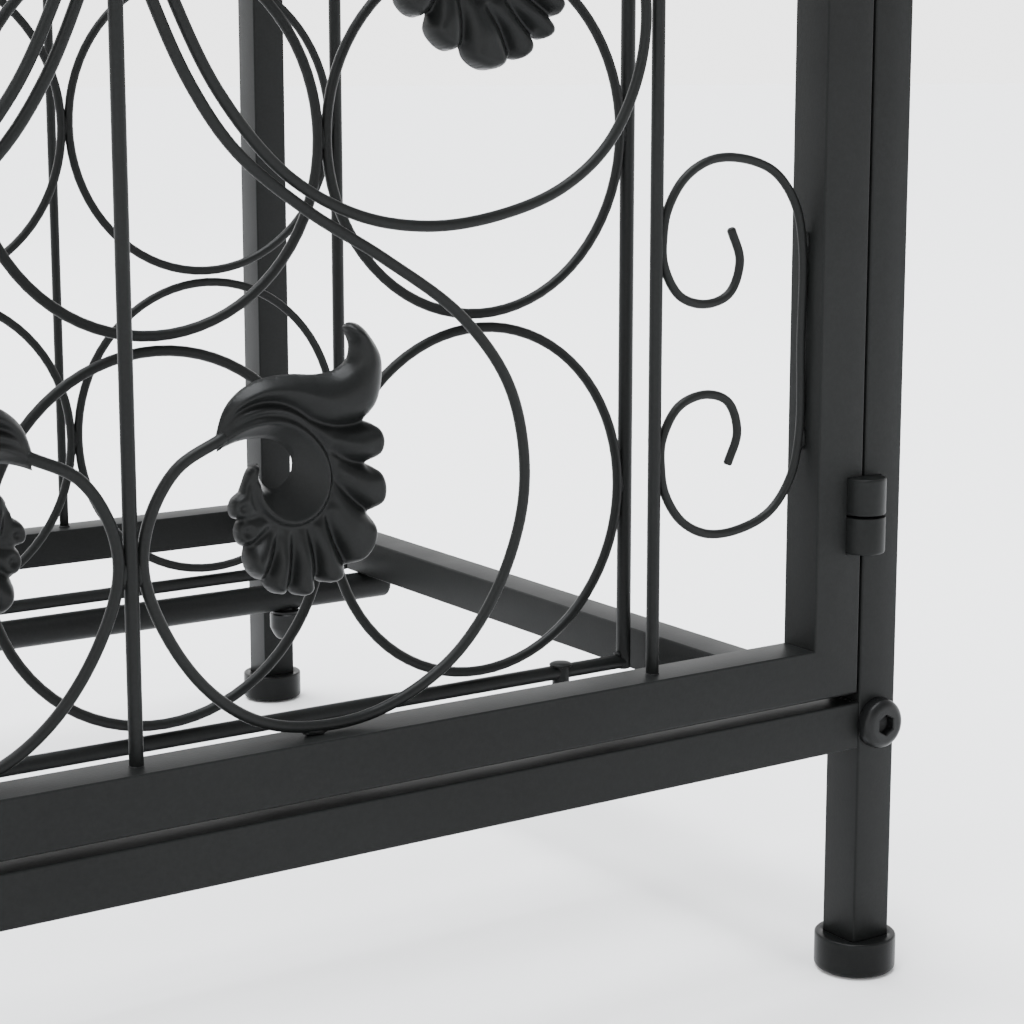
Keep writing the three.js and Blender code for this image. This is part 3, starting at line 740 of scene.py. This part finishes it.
# A leaf is drawn in its own plane, as (u, v) about the middle of its volute.  The outline runs
# from the tip at the wire over the crest to the horn, down the lobes, round the small curls and
# back along the hollow of the volute.  Each run is smooth; runs meet in corners.
LEAF_RUNS = [
    [(-20.4, 12), (-18.3, 18), (-15.2, 21.6), (-9.9, 24.4), (-1.9, 25.3), (6, 24.8), (10.7, 25.6),
     (13.7, 27.8), (14.4, 30.8), (13.6, 33.3), (12.8, 35.3)],
    [(12.8, 35.3), (14.2, 36.2), (17.2, 35.6), (20.4, 32.3), (22.9, 27.8), (23, 22), (21.4, 16.6),
     (17.9, 13.1)],
    [(17.9, 13.1), (21, 11.6), (22.2, 8.6), (21.2, 5.2), (18.2, 3)],
    [(18.2, 3), (21.4, 1), (22.6, -2.8), (21.7, -6.4), (18.6, -8.8)],
    [(18.6, -8.8), (20, -12), (19.2, -16.4), (16.3, -19.6), (12.2, -21)],
    [(12.2, -21), (10.7, -23.3), (8.2, -24.3), (5.6, -24), (4, -23)],
    [(4, -23), (3, -25.4), (0.7, -26.6), (-1.6, -26), (-3, -24.4)],
    [(-3, -24.4), (-4.6, -25.6), (-7, -25), (-8.9, -23.2), (-9.4, -21.8)],
    [(-9.4, -21.8), (-11.6, -20.9), (-13.6, -18.6), (-14.2, -15.6), (-13.9, -13.5)],
    [(-13.9, -13.5), (-15.4, -12.5), (-16.3, -10.3), (-16, -8.2), (-15.2, -7)],
    [(-15.2, -7), (-16.9, -6.3), (-17.6, -4.3), (-16.8, -2.1), (-14.9, -0.7)],
    [(-14.9, -0.7), (-14, 1.4), (-13, 3.7), (-11.8, 5.1), (-9.7, 5.3)],
    [(-9.7, 5.3), (-9.4, 2.4), (-8.1, 0.2), (-5.7, -1.2), (-3, 0.1), (-1, 2.7), (-0.9, 5.8),
     (-2.7, 8.6), (-6.3, 10.6), (-10.5, 11.1), (-14.4, 10.8), (-17.6, 9.9), (-20, 8.9)],
    [(-20, 8.9), (-19.9, 10.4), (-20.4, 12)],
]
HOLLOW = LEAF_RUNS[12]
RIM = [
    (-19.2, 11.2), (-15.4, 13.4), (-10.5, 14.9), (-5.4, 14.8), (-1.3, 13.3), (2.5, 10.4),
    (5.5, 6.4), (6.9, 1.8), (6.3, -2.7), (4, -6.4), (0, -8.5), (-4.2, -8.2), (-8.1, -5.8),
    (-10.4, -2.6), (-11, 0.8),
]
FOLD_GROOVE = [
    (-18.9, 13.6), (-15.2, 17.4), (-9.9, 19.2), (-4.6, 18.8), (-0.4, 16.9), (3.2, 14.5),
    (8.4, 12.6), (13.5, 12.3), (17.9, 13.1),
]
RIM_GROOVE = [
    (-19.4, 12.4), (-15.4, 15), (-10.5, 16.6), (-5.2, 16.4), (-0.9, 14.8), (3.4, 11.6), (6.8, 7.2),
    (8.4, 1.9), (7.8, -3.3), (5.2, -7.6), (0.5, -9.9), (-4.7, -9.7), (-9.2, -7), (-11.9, -3.2),
    (-12.5, 1),
]
# Valleys part the lobes, flutes run down their middles, and pits (u, v, radius) mark the curls.
VALLEYS = [
    [(8.4, 7), (13, 4.2), (18.2, 3)],
    [(9, 0.2), (13.4, -4.6), (18.6, -8.8)],
    [(6.8, -8.4), (8.8, -14.4), (12.2, -21)],
    [(2, -10.4), (3.5, -17), (4, -23)],
    [(-1.9, -11.4), (-2.3, -18.3), (-3, -24.4)],
    [(-5.8, -11), (-7.4, -17), (-9.4, -21.8)],
    [(-8.1, -9.8), (-10.8, -11.6), (-13.9, -13.5)],
    [(-10.4, -6.4), (-12.6, -6.8), (-15.2, -7)],
]
FLUTES = [
    [(8.4, 10.6), (13, 9.4), (16.5, 8.8)],
    [(9.8, 4), (13.2, 1), (16.4, -1.2)],
    [(8.6, -5), (12.3, -10.6), (14.8, -14.6)],
    [(4.8, -9.6), (6, -15.5), (6.9, -19.7)],
    [(0.3, -11.4), (0.6, -17.5), (0.4, -21.8)],
    [(-3.7, -11.4), (-4.8, -17), (-5.9, -21)],
    [(-7.2, -11), (-9.2, -14.4), (-11, -16.8)],
]
PITS = [(-14, -9.9, 1.5), (-15, -4.3, 1.3)]
LEAF_SPACING = 0.42
EDGE_HEIGHT = -0.8


def far(points, line):
    """Distance of each point to a polyline."""
    line = np.array(line, float)
    best = np.full(len(points), 1e9)
    for a, b in zip(line, line[1:]):
        ab = b - a
        t = np.clip(((points - a) @ ab) / (ab @ ab), 0, 1)
        best = np.minimum(best, np.linalg.norm(points - (a + t[:, None] * ab), axis=1))
    return best


def inside(points, ring_line):
    """Which points lie inside a closed polyline."""
    ring_line = np.array(ring_line, float)
    x, y = points[:, 0], points[:, 1]
    hit = np.zeros(len(points), bool)
    for (x1, y1), (x2, y2) in zip(ring_line, np.roll(ring_line, -1, axis=0)):
        if y1 == y2:
            continue
        crosses = (y1 > y) != (y2 > y)
        hit ^= crosses & (x < (x2 - x1) * (y - y1) / (y2 - y1) + x1)
    return hit


def smooth(value, low, high):
    """0 below low, 1 above high and an even rise between them."""
    t = np.clip((value - low) / (high - low), 0, 1)
    return t * t * (3 - 2 * t)


def dome(distance, reach):
    """A quarter-round rise from 0 at no distance to 1 at reach."""
    return 1 - (1 - np.clip(distance / reach, 0, 1)) ** 2


def hill(distance, width):
    """A smooth hill of height 1 in the middle."""
    return np.exp(-((distance / width) ** 2))


def relaxed(heights, faces, fixed, rounds):
    """The heights after a few rounds of averaging with their neighbours."""
    tri = np.array(faces)
    a = np.concatenate([tri[:, 0], tri[:, 1], tri[:, 2], tri[:, 1], tri[:, 2], tri[:, 0]])
    b = np.concatenate([tri[:, 1], tri[:, 2], tri[:, 0], tri[:, 0], tri[:, 1], tri[:, 2]])
    count = np.maximum(np.bincount(a, minlength=len(heights)), 1)
    for _ in range(rounds):
        mean = np.bincount(a, weights=heights[b], minlength=len(heights)) / count
        heights = np.where(fixed, heights, 0.4 * heights + 0.6 * mean)
    return heights


def leaf_outline():
    """The runs of the outline, evenly spaced."""
    outline = []
    for run in LEAF_RUNS:
        line = catmull(run, 12)
        lengths = np.cumsum([0] + [np.linalg.norm(b - a) for a, b in zip(line, line[1:])])
        count = max(2, int(lengths[-1] / LEAF_SPACING))
        wanted = np.linspace(0, lengths[-1], count, endpoint=False)
        u, v = np.array(line).T
        outline += list(zip(np.interp(wanted, lengths, u), np.interp(wanted, lengths, v)))
    return np.array(outline)


def leaf_mesh(outline):
    """(points, triangles, which points lie on the outline) of the flat leaf."""
    lo, hi = outline.min(axis=0), outline.max(axis=0)
    grid_points = []
    for j, v in enumerate(np.arange(lo[1], hi[1], LEAF_SPACING * 0.87)):
        for u in np.arange(lo[0] + (j % 2) * LEAF_SPACING / 2, hi[0], LEAF_SPACING):
            grid_points.append((u, v))
    grid_points = np.array(grid_points)
    clear = far(grid_points, np.vstack([outline, outline[:1]])) > LEAF_SPACING * 0.6
    points = np.vstack([outline, grid_points[inside(grid_points, outline) & clear]])
    n = len(outline)
    edges = [(i, (i + 1) % n) for i in range(n)]
    corners = [Vector(p) for p in points]
    verts, _, faces, origins, _, _ = delaunay_2d_cdt(corners, edges, [], 1, 1e-5)
    points = np.array([(v.x, v.y) for v in verts])
    on_edge = np.array([any(k < n for k in o) for o in origins])
    middles = np.array([points[list(f)].mean(axis=0) for f in faces])
    return points, [f for f, ok in zip(faces, inside(middles, outline)) if ok], on_edge


def leaf_surface():
    """(points, triangles, outline flags, front heights, back heights) of the cast leaf."""
    outline = leaf_outline()
    points, faces, on_edge = leaf_mesh(outline)
    u, v = points[:, 0], points[:, 1]
    edge = far(points, np.vstack([outline, outline[:1]]))
    rim_line = catmull(RIM, 8)
    hollow_line = catmull(HOLLOW, 6)
    fold_line = catmull(FOLD_GROOVE, 8)
    dish = inside(points, list(rim_line) + list(hollow_line))
    above = inside(points, [*fold_line, (40, 13), (40, 60), (-40, 60), (-22, 12)])
    to_rim, to_hollow = far(points, rim_line), far(points, hollow_line)
    fold, rim_side = far(points, fold_line), far(points, catmull(RIM_GROOVE, 8))
    valley = np.min([far(points, catmull(line, 8)) for line in VALLEYS], axis=0)
    flute = np.min([far(points, catmull(line, 8)) for line in FLUTES], axis=0)
    radius = np.hypot((u + 2) / 0.95, v - 1)

    # Outside the volute: the crest above the fold, and the lobes with their flutes below it.
    crest = 0.5 + 4.3 * dome(np.minimum(edge, fold), 6.4) + 1.0 * smooth(v, 22, 36)
    swell = 0.42 + 0.78 * smooth(radius, 9, 21)
    lobes = 1.3 - 0.5 * smooth(radius, 12, 24)
    lobes += 3.7 * swell * dome(np.minimum(np.minimum(valley, fold), rim_side + 0.5), 4.4)
    lobes -= 0.4 * hill(flute, 0.9) * (1 - smooth(radius, 14, 21))
    outer = np.where(above, crest, lobes)

    # The rim of the volute blends into them, and its bowl falls away to the hollow.
    blend = 2.2
    ridge = 3.7 * hill(to_rim, 1.1)
    outer = np.log(np.exp(blend * outer) + np.exp(blend * ridge)) / blend
    share = to_rim / (to_rim + to_hollow + 1e-6)
    bowl = 3.75 - 4.6 * np.power(np.clip(share, 0, 1), 0.85)
    front = np.where(dish, bowl, outer)
    for pit_u, pit_v, r in PITS:
        d = np.hypot(u - pit_u, v - pit_v)
        near = np.exp(-((d / 3.0) ** 4))
        front = front * (1 - 0.75 * near) + 1.5 * near
        front -= 1.2 * hill(d, 0.75 * r)
        front += 0.4 * hill(d - 1.2 * r, 0.8)
    tip = smooth(np.hypot(u + 21, v - 10), 0, 14)
    front *= 0.3 + 0.7 * tip
    front = relaxed(front, faces, on_edge, 3)

    # Both faces round over to meet at the outline.
    thin = np.minimum(edge / 2.4, 1)
    soft = np.sqrt(np.clip(1 - (1 - thin) ** 2, 0, 1))
    sharp = np.minimum(edge / 0.6, 1)
    front = np.where(dish, -1.1 + (front + 1.1) * sharp, EDGE_HEIGHT + (front - EDGE_HEIGHT) * soft)
    back = EDGE_HEIGHT - (0.7 + 0.42 * np.maximum(front - EDGE_HEIGHT, 0)) * soft
    back = np.minimum(back, np.where(dish, front - 1.0 * sharp, back))
    back = np.where(on_edge, front, relaxed(back, faces, on_edge, 2))
    return points, faces, on_edge, front, back


points, leaf_faces, on_edge, front_h, back_h = leaf_surface()


def leaf(name, node, place):
    """One cast leaf.  place maps the leaf's own (u, v) to the door's (x, z)."""
    bm = bmesh.new()
    front, back = [], []
    for (u, v), rim, h, b in zip(points, on_edge, front_h, back_h):
        x, z = place(u, v)
        vert = bm.verts.new(at(x, DOOR_Y - h, z))
        front.append(vert)
        back.append(vert if rim else bm.verts.new(at(x, DOOR_Y - b, z)))
    for a, b, c in leaf_faces:
        bm.faces.new((front[a], front[b], front[c]))
        if {back[a], back[b], back[c]} != {front[a], front[b], front[c]}:
            bm.faces.new((back[c], back[b], back[a]))
    finished(bm, name, powder_leaf, "door", [node], sharp=75)


# Where each leaf's own origin lies on the door, its flip in u and its tilt.
LEAVES = {"lower": (42, 156, 1, 0.0), "upper": (91.5, 275, -1, math.radians(51.5))}

for kind, (x0, z0, flip, tilt) in LEAVES.items():
    for side, sx in SIDES:
        for level in LEVELS:
            def place(u, v, x0=x0, z0=z0, flip=flip, tilt=tilt, sx=sx, top=level == "top"):
                a = flip * u
                x = x0 + a * math.cos(tilt) - v * math.sin(tilt)
                z = z0 + a * math.sin(tilt) + v * math.cos(tilt)
                return sx * x, 2 * DOOR_MIDDLE - z if top else z
            leaf(f"leaf_cast_{kind}_{level}_{side}", f"leaf_{kind}_{level}_{side}", place)

# ---- Hinges and latch ------------------------------------------------------------------------

# The lower knuckle of a hinge sits on the post and holds the pin; the upper one rides the door.
HINGE_PIN = [(2.5, -1), (2.5, 6.6), (1.9, 7.1)]

for level, z in zip(LEVELS, HINGE_Z):
    for part, body, axis in (("post", "frame", "-z"), ("door", "door", "z")):
        r, h = KNUCKLE_RADIUS, KNUCKLE
        shape = [(2.4, 0.32), (r - 0.45, 0.32), (r - 0.12, 0.45), (r, 0.75)]
        shape += [(r, h - 0.9)] + fillet(r, h, 0.8, steps=4) + [(r - 2.2, h), (0.5, h - 0.05)]
        bm = bmesh.new()
        turned(bm, (HINGE_X, 0, z), axis, [(circle(a), b) for a, b in shape])
        if part == "post":
            turned(bm, (HINGE_X, 0, z), "z", [(circle(a, 32), b) for a, b in HINGE_PIN])
        finished(bm, f"hinge_barrel_{level}_{part}", powder, body,
                 [f"hinge_{level}_{part}_knuckle"])

LATCH_SCREW = 4.8
bm = bmesh.new()
rod(bm, (-POST_X, -3.2, DOOR_MIDDLE), (-POST_X, 4, DOOR_MIDDLE), LATCH_SCREW)
button_bolt(bm, (-POST_X, -3.3, DOOR_MIDDLE), "-y", radius=4.4, height=2.3)
finished(bm, "latch_pivot_screw", bolt_black, "frame", ["latch_screw"])


def latch_button():
    """The turn button: a flat bar with round ends, a hole for its screw and a knob at its tip."""
    half, reach, thick, hole_radius = 5.0, 22.0, 2.4, 2.8
    back, steps = -0.5, 32
    face = back - thick
    outline = []
    for start, height in ((math.pi, 0), (0, reach)):
        for i in range(steps + 1):
            t = start + math.pi * i / steps
            outline.append((half * math.cos(t), height + half * math.sin(t)))
    hole = []
    for i in range(len(outline)):
        t = math.pi + 2 * math.pi * i / len(outline)
        hole.append((hole_radius * math.cos(t), hole_radius * math.sin(t)))

    def layer(y, shrink=0.0):
        out = []
        for x, z in outline:
            cz = min(max(z, 0), reach)
            k = 1 - shrink / max(math.hypot(x, z - cz), 1e-6)
            out.append(at(-POST_X + x * k, y, DOOR_MIDDLE + cz + (z - cz) * k))
        return out

    def bore(y):
        return [at(-POST_X + x, y, DOOR_MIDDLE + z) for x, z in hole]

    bm = bmesh.new()
    loops = [bore(back), layer(back, 0.4), layer(back - 0.15, 0.1), layer(back - 0.4),
             layer(face + 0.4), layer(face + 0.15, 0.12), layer(face, 0.45), bore(face)]
    loft(bm, loops, wrap=True)
    knob = [(2.4, -1.2), (2.4, 1.2), (2.8, 2.0), (3.6, 2.7), (4.0, 3.4), (4.0, 4.2), (3.6, 4.9),
            (2.8, 5.4), (1.4, 5.58), (0.3, 5.6)]
    turned(bm, (-POST_X, face, DOOR_MIDDLE + reach), "-y", [(circle(a, 40), b) for a, b in knob])
    finished(bm, "latch_turn_button", bolt_black, "latch", ["latch_button"])


latch_button()

# ---- Weld seams ------------------------------------------------------------------------------

SEAM_BEADS, SEAM_STEP, SEAM_START = 6, 1.85, -4.6

bm = bmesh.new()
for level in LEVELS:
    for end in ENDS:
        lo, hi = node_box(f"rail_{end}_{level}")
        y = (lo[1] + hi[1]) / 2
        z = hi[2] - 0.1 if level == "bottom" else lo[2] + 0.1
        for sx in (-1, 1):
            for k in range(SEAM_BEADS):
                spot = (sx * (hi[0] - 0.1), y + SEAM_START + SEAM_STEP * k, z)
                blob(bm, spot, (1.1, 1.2, 0.55))
finished(bm, "frame_weld_seams", weld_coat, "frame")

# ---- Floor, light, camera --------------------------------------------------------------------

HORIZON = 3.25
FLOOR_WHITE = 0.86

floor_mat = bpy.data.materials.new("studio_floor")
floor_mat.use_nodes = True
floor_shader = floor_mat.node_tree.nodes["Principled BSDF"]
floor_shader.inputs["Base Color"].default_value = (FLOOR_WHITE, FLOOR_WHITE, FLOOR_WHITE, 1)
floor_shader.inputs["Roughness"].default_value = 0.9
floor_shader.inputs["Specular IOR Level"].default_value = 0.1
bm = bmesh.new()
bmesh.ops.create_grid(bm, x_segments=1, y_segments=1, size=30)
floor_mesh = bpy.data.meshes.new("studio_floor")
bm.to_mesh(floor_mesh)
bm.free()
floor_mesh.materials.append(floor_mat)
floor = bpy.data.objects.new("studio_floor", floor_mesh)
floor.location.z = -0.0005
bpy.context.scene.collection.objects.link(floor)

# A pale horizon that darkens towards the zenith.
world = bpy.data.worlds.new("studio")
world.use_nodes = True
sky, sky_links = world.node_tree.nodes, world.node_tree.links
direction = sky.new("ShaderNodeSeparateXYZ")
sky_links.new(sky.new("ShaderNodeTexCoord").outputs["Generated"], direction.inputs["Vector"])
fade = sky.new("ShaderNodeValToRGB")
fade.color_ramp.elements[0].position = 0.08
fade.color_ramp.elements[0].color = (1, 1, 1, 1)
fade.color_ramp.elements[1].position = 0.5
fade.color_ramp.elements[1].color = (0.22, 0.22, 0.225, 1)
sky_links.new(direction.outputs["Z"], fade.inputs["Fac"])
sky_links.new(fade.outputs["Color"], sky["Background"].inputs["Color"])
sky["Background"].inputs["Strength"].default_value = HORIZON
bpy.context.scene.world = world


def turned_to(place, aim):
    return (Vector(aim) - Vector(place)).to_track_quat("-Z", "Y")


def light(name, kind, energy, place, aim, **more):
    data = bpy.data.lights.new(name, kind)
    data.energy = energy
    for key, value in more.items():
        setattr(data, key, value)
    obj = bpy.data.objects.new(name, data)
    obj.location = place
    obj.rotation_mode = "QUATERNION"
    obj.rotation_quaternion = turned_to(place, aim)
    bpy.context.scene.collection.objects.link(obj)


# A broad overhead light, a softbox at the left front for the fronts and one behind the rack for
# the tops.
light("overhead", "SUN", 9.8, (-0.3, 0.25, 2), (0, 0, 0),
      angle=math.radians(45), color=(0.945, 0.97, 1.0))
light("left_softbox", "AREA", 22, (-1.6, -1.3, 1.5), (0, 0, 0.25),
      shape="RECTANGLE", size=0.9, size_y=1.6)
light("back_softbox", "AREA", 28, (-0.4, 2.1, 1.4), (0, 0, 0.25),
      shape="RECTANGLE", size=1.2, size_y=1.2)

# The camera stands at the left front, about a third of the rack's height up, and looks slightly
# down across the lower right corner of the front.
CAMERA_PLACE = (-211.8, -458.9, 250)
CAMERA_PITCH, CAMERA_YAW = -9.555, -33.967
LENS, SHIFT = 81.83, -0.05

camera_data = bpy.data.cameras.new("camera")
camera_data.sensor_width = 36
camera_data.lens = LENS
camera_data.shift_y = SHIFT
camera = bpy.data.objects.new("camera", camera_data)
camera.location = at(*CAMERA_PLACE)
camera.rotation_euler = (math.radians(90 + CAMERA_PITCH), 0, math.radians(CAMERA_YAW))
camera_data.clip_start = 0.01
camera_data.clip_end = 100
bpy.context.scene.collection.objects.link(camera)
bpy.context.scene.camera = camera

bpy.context.view_layer.update()
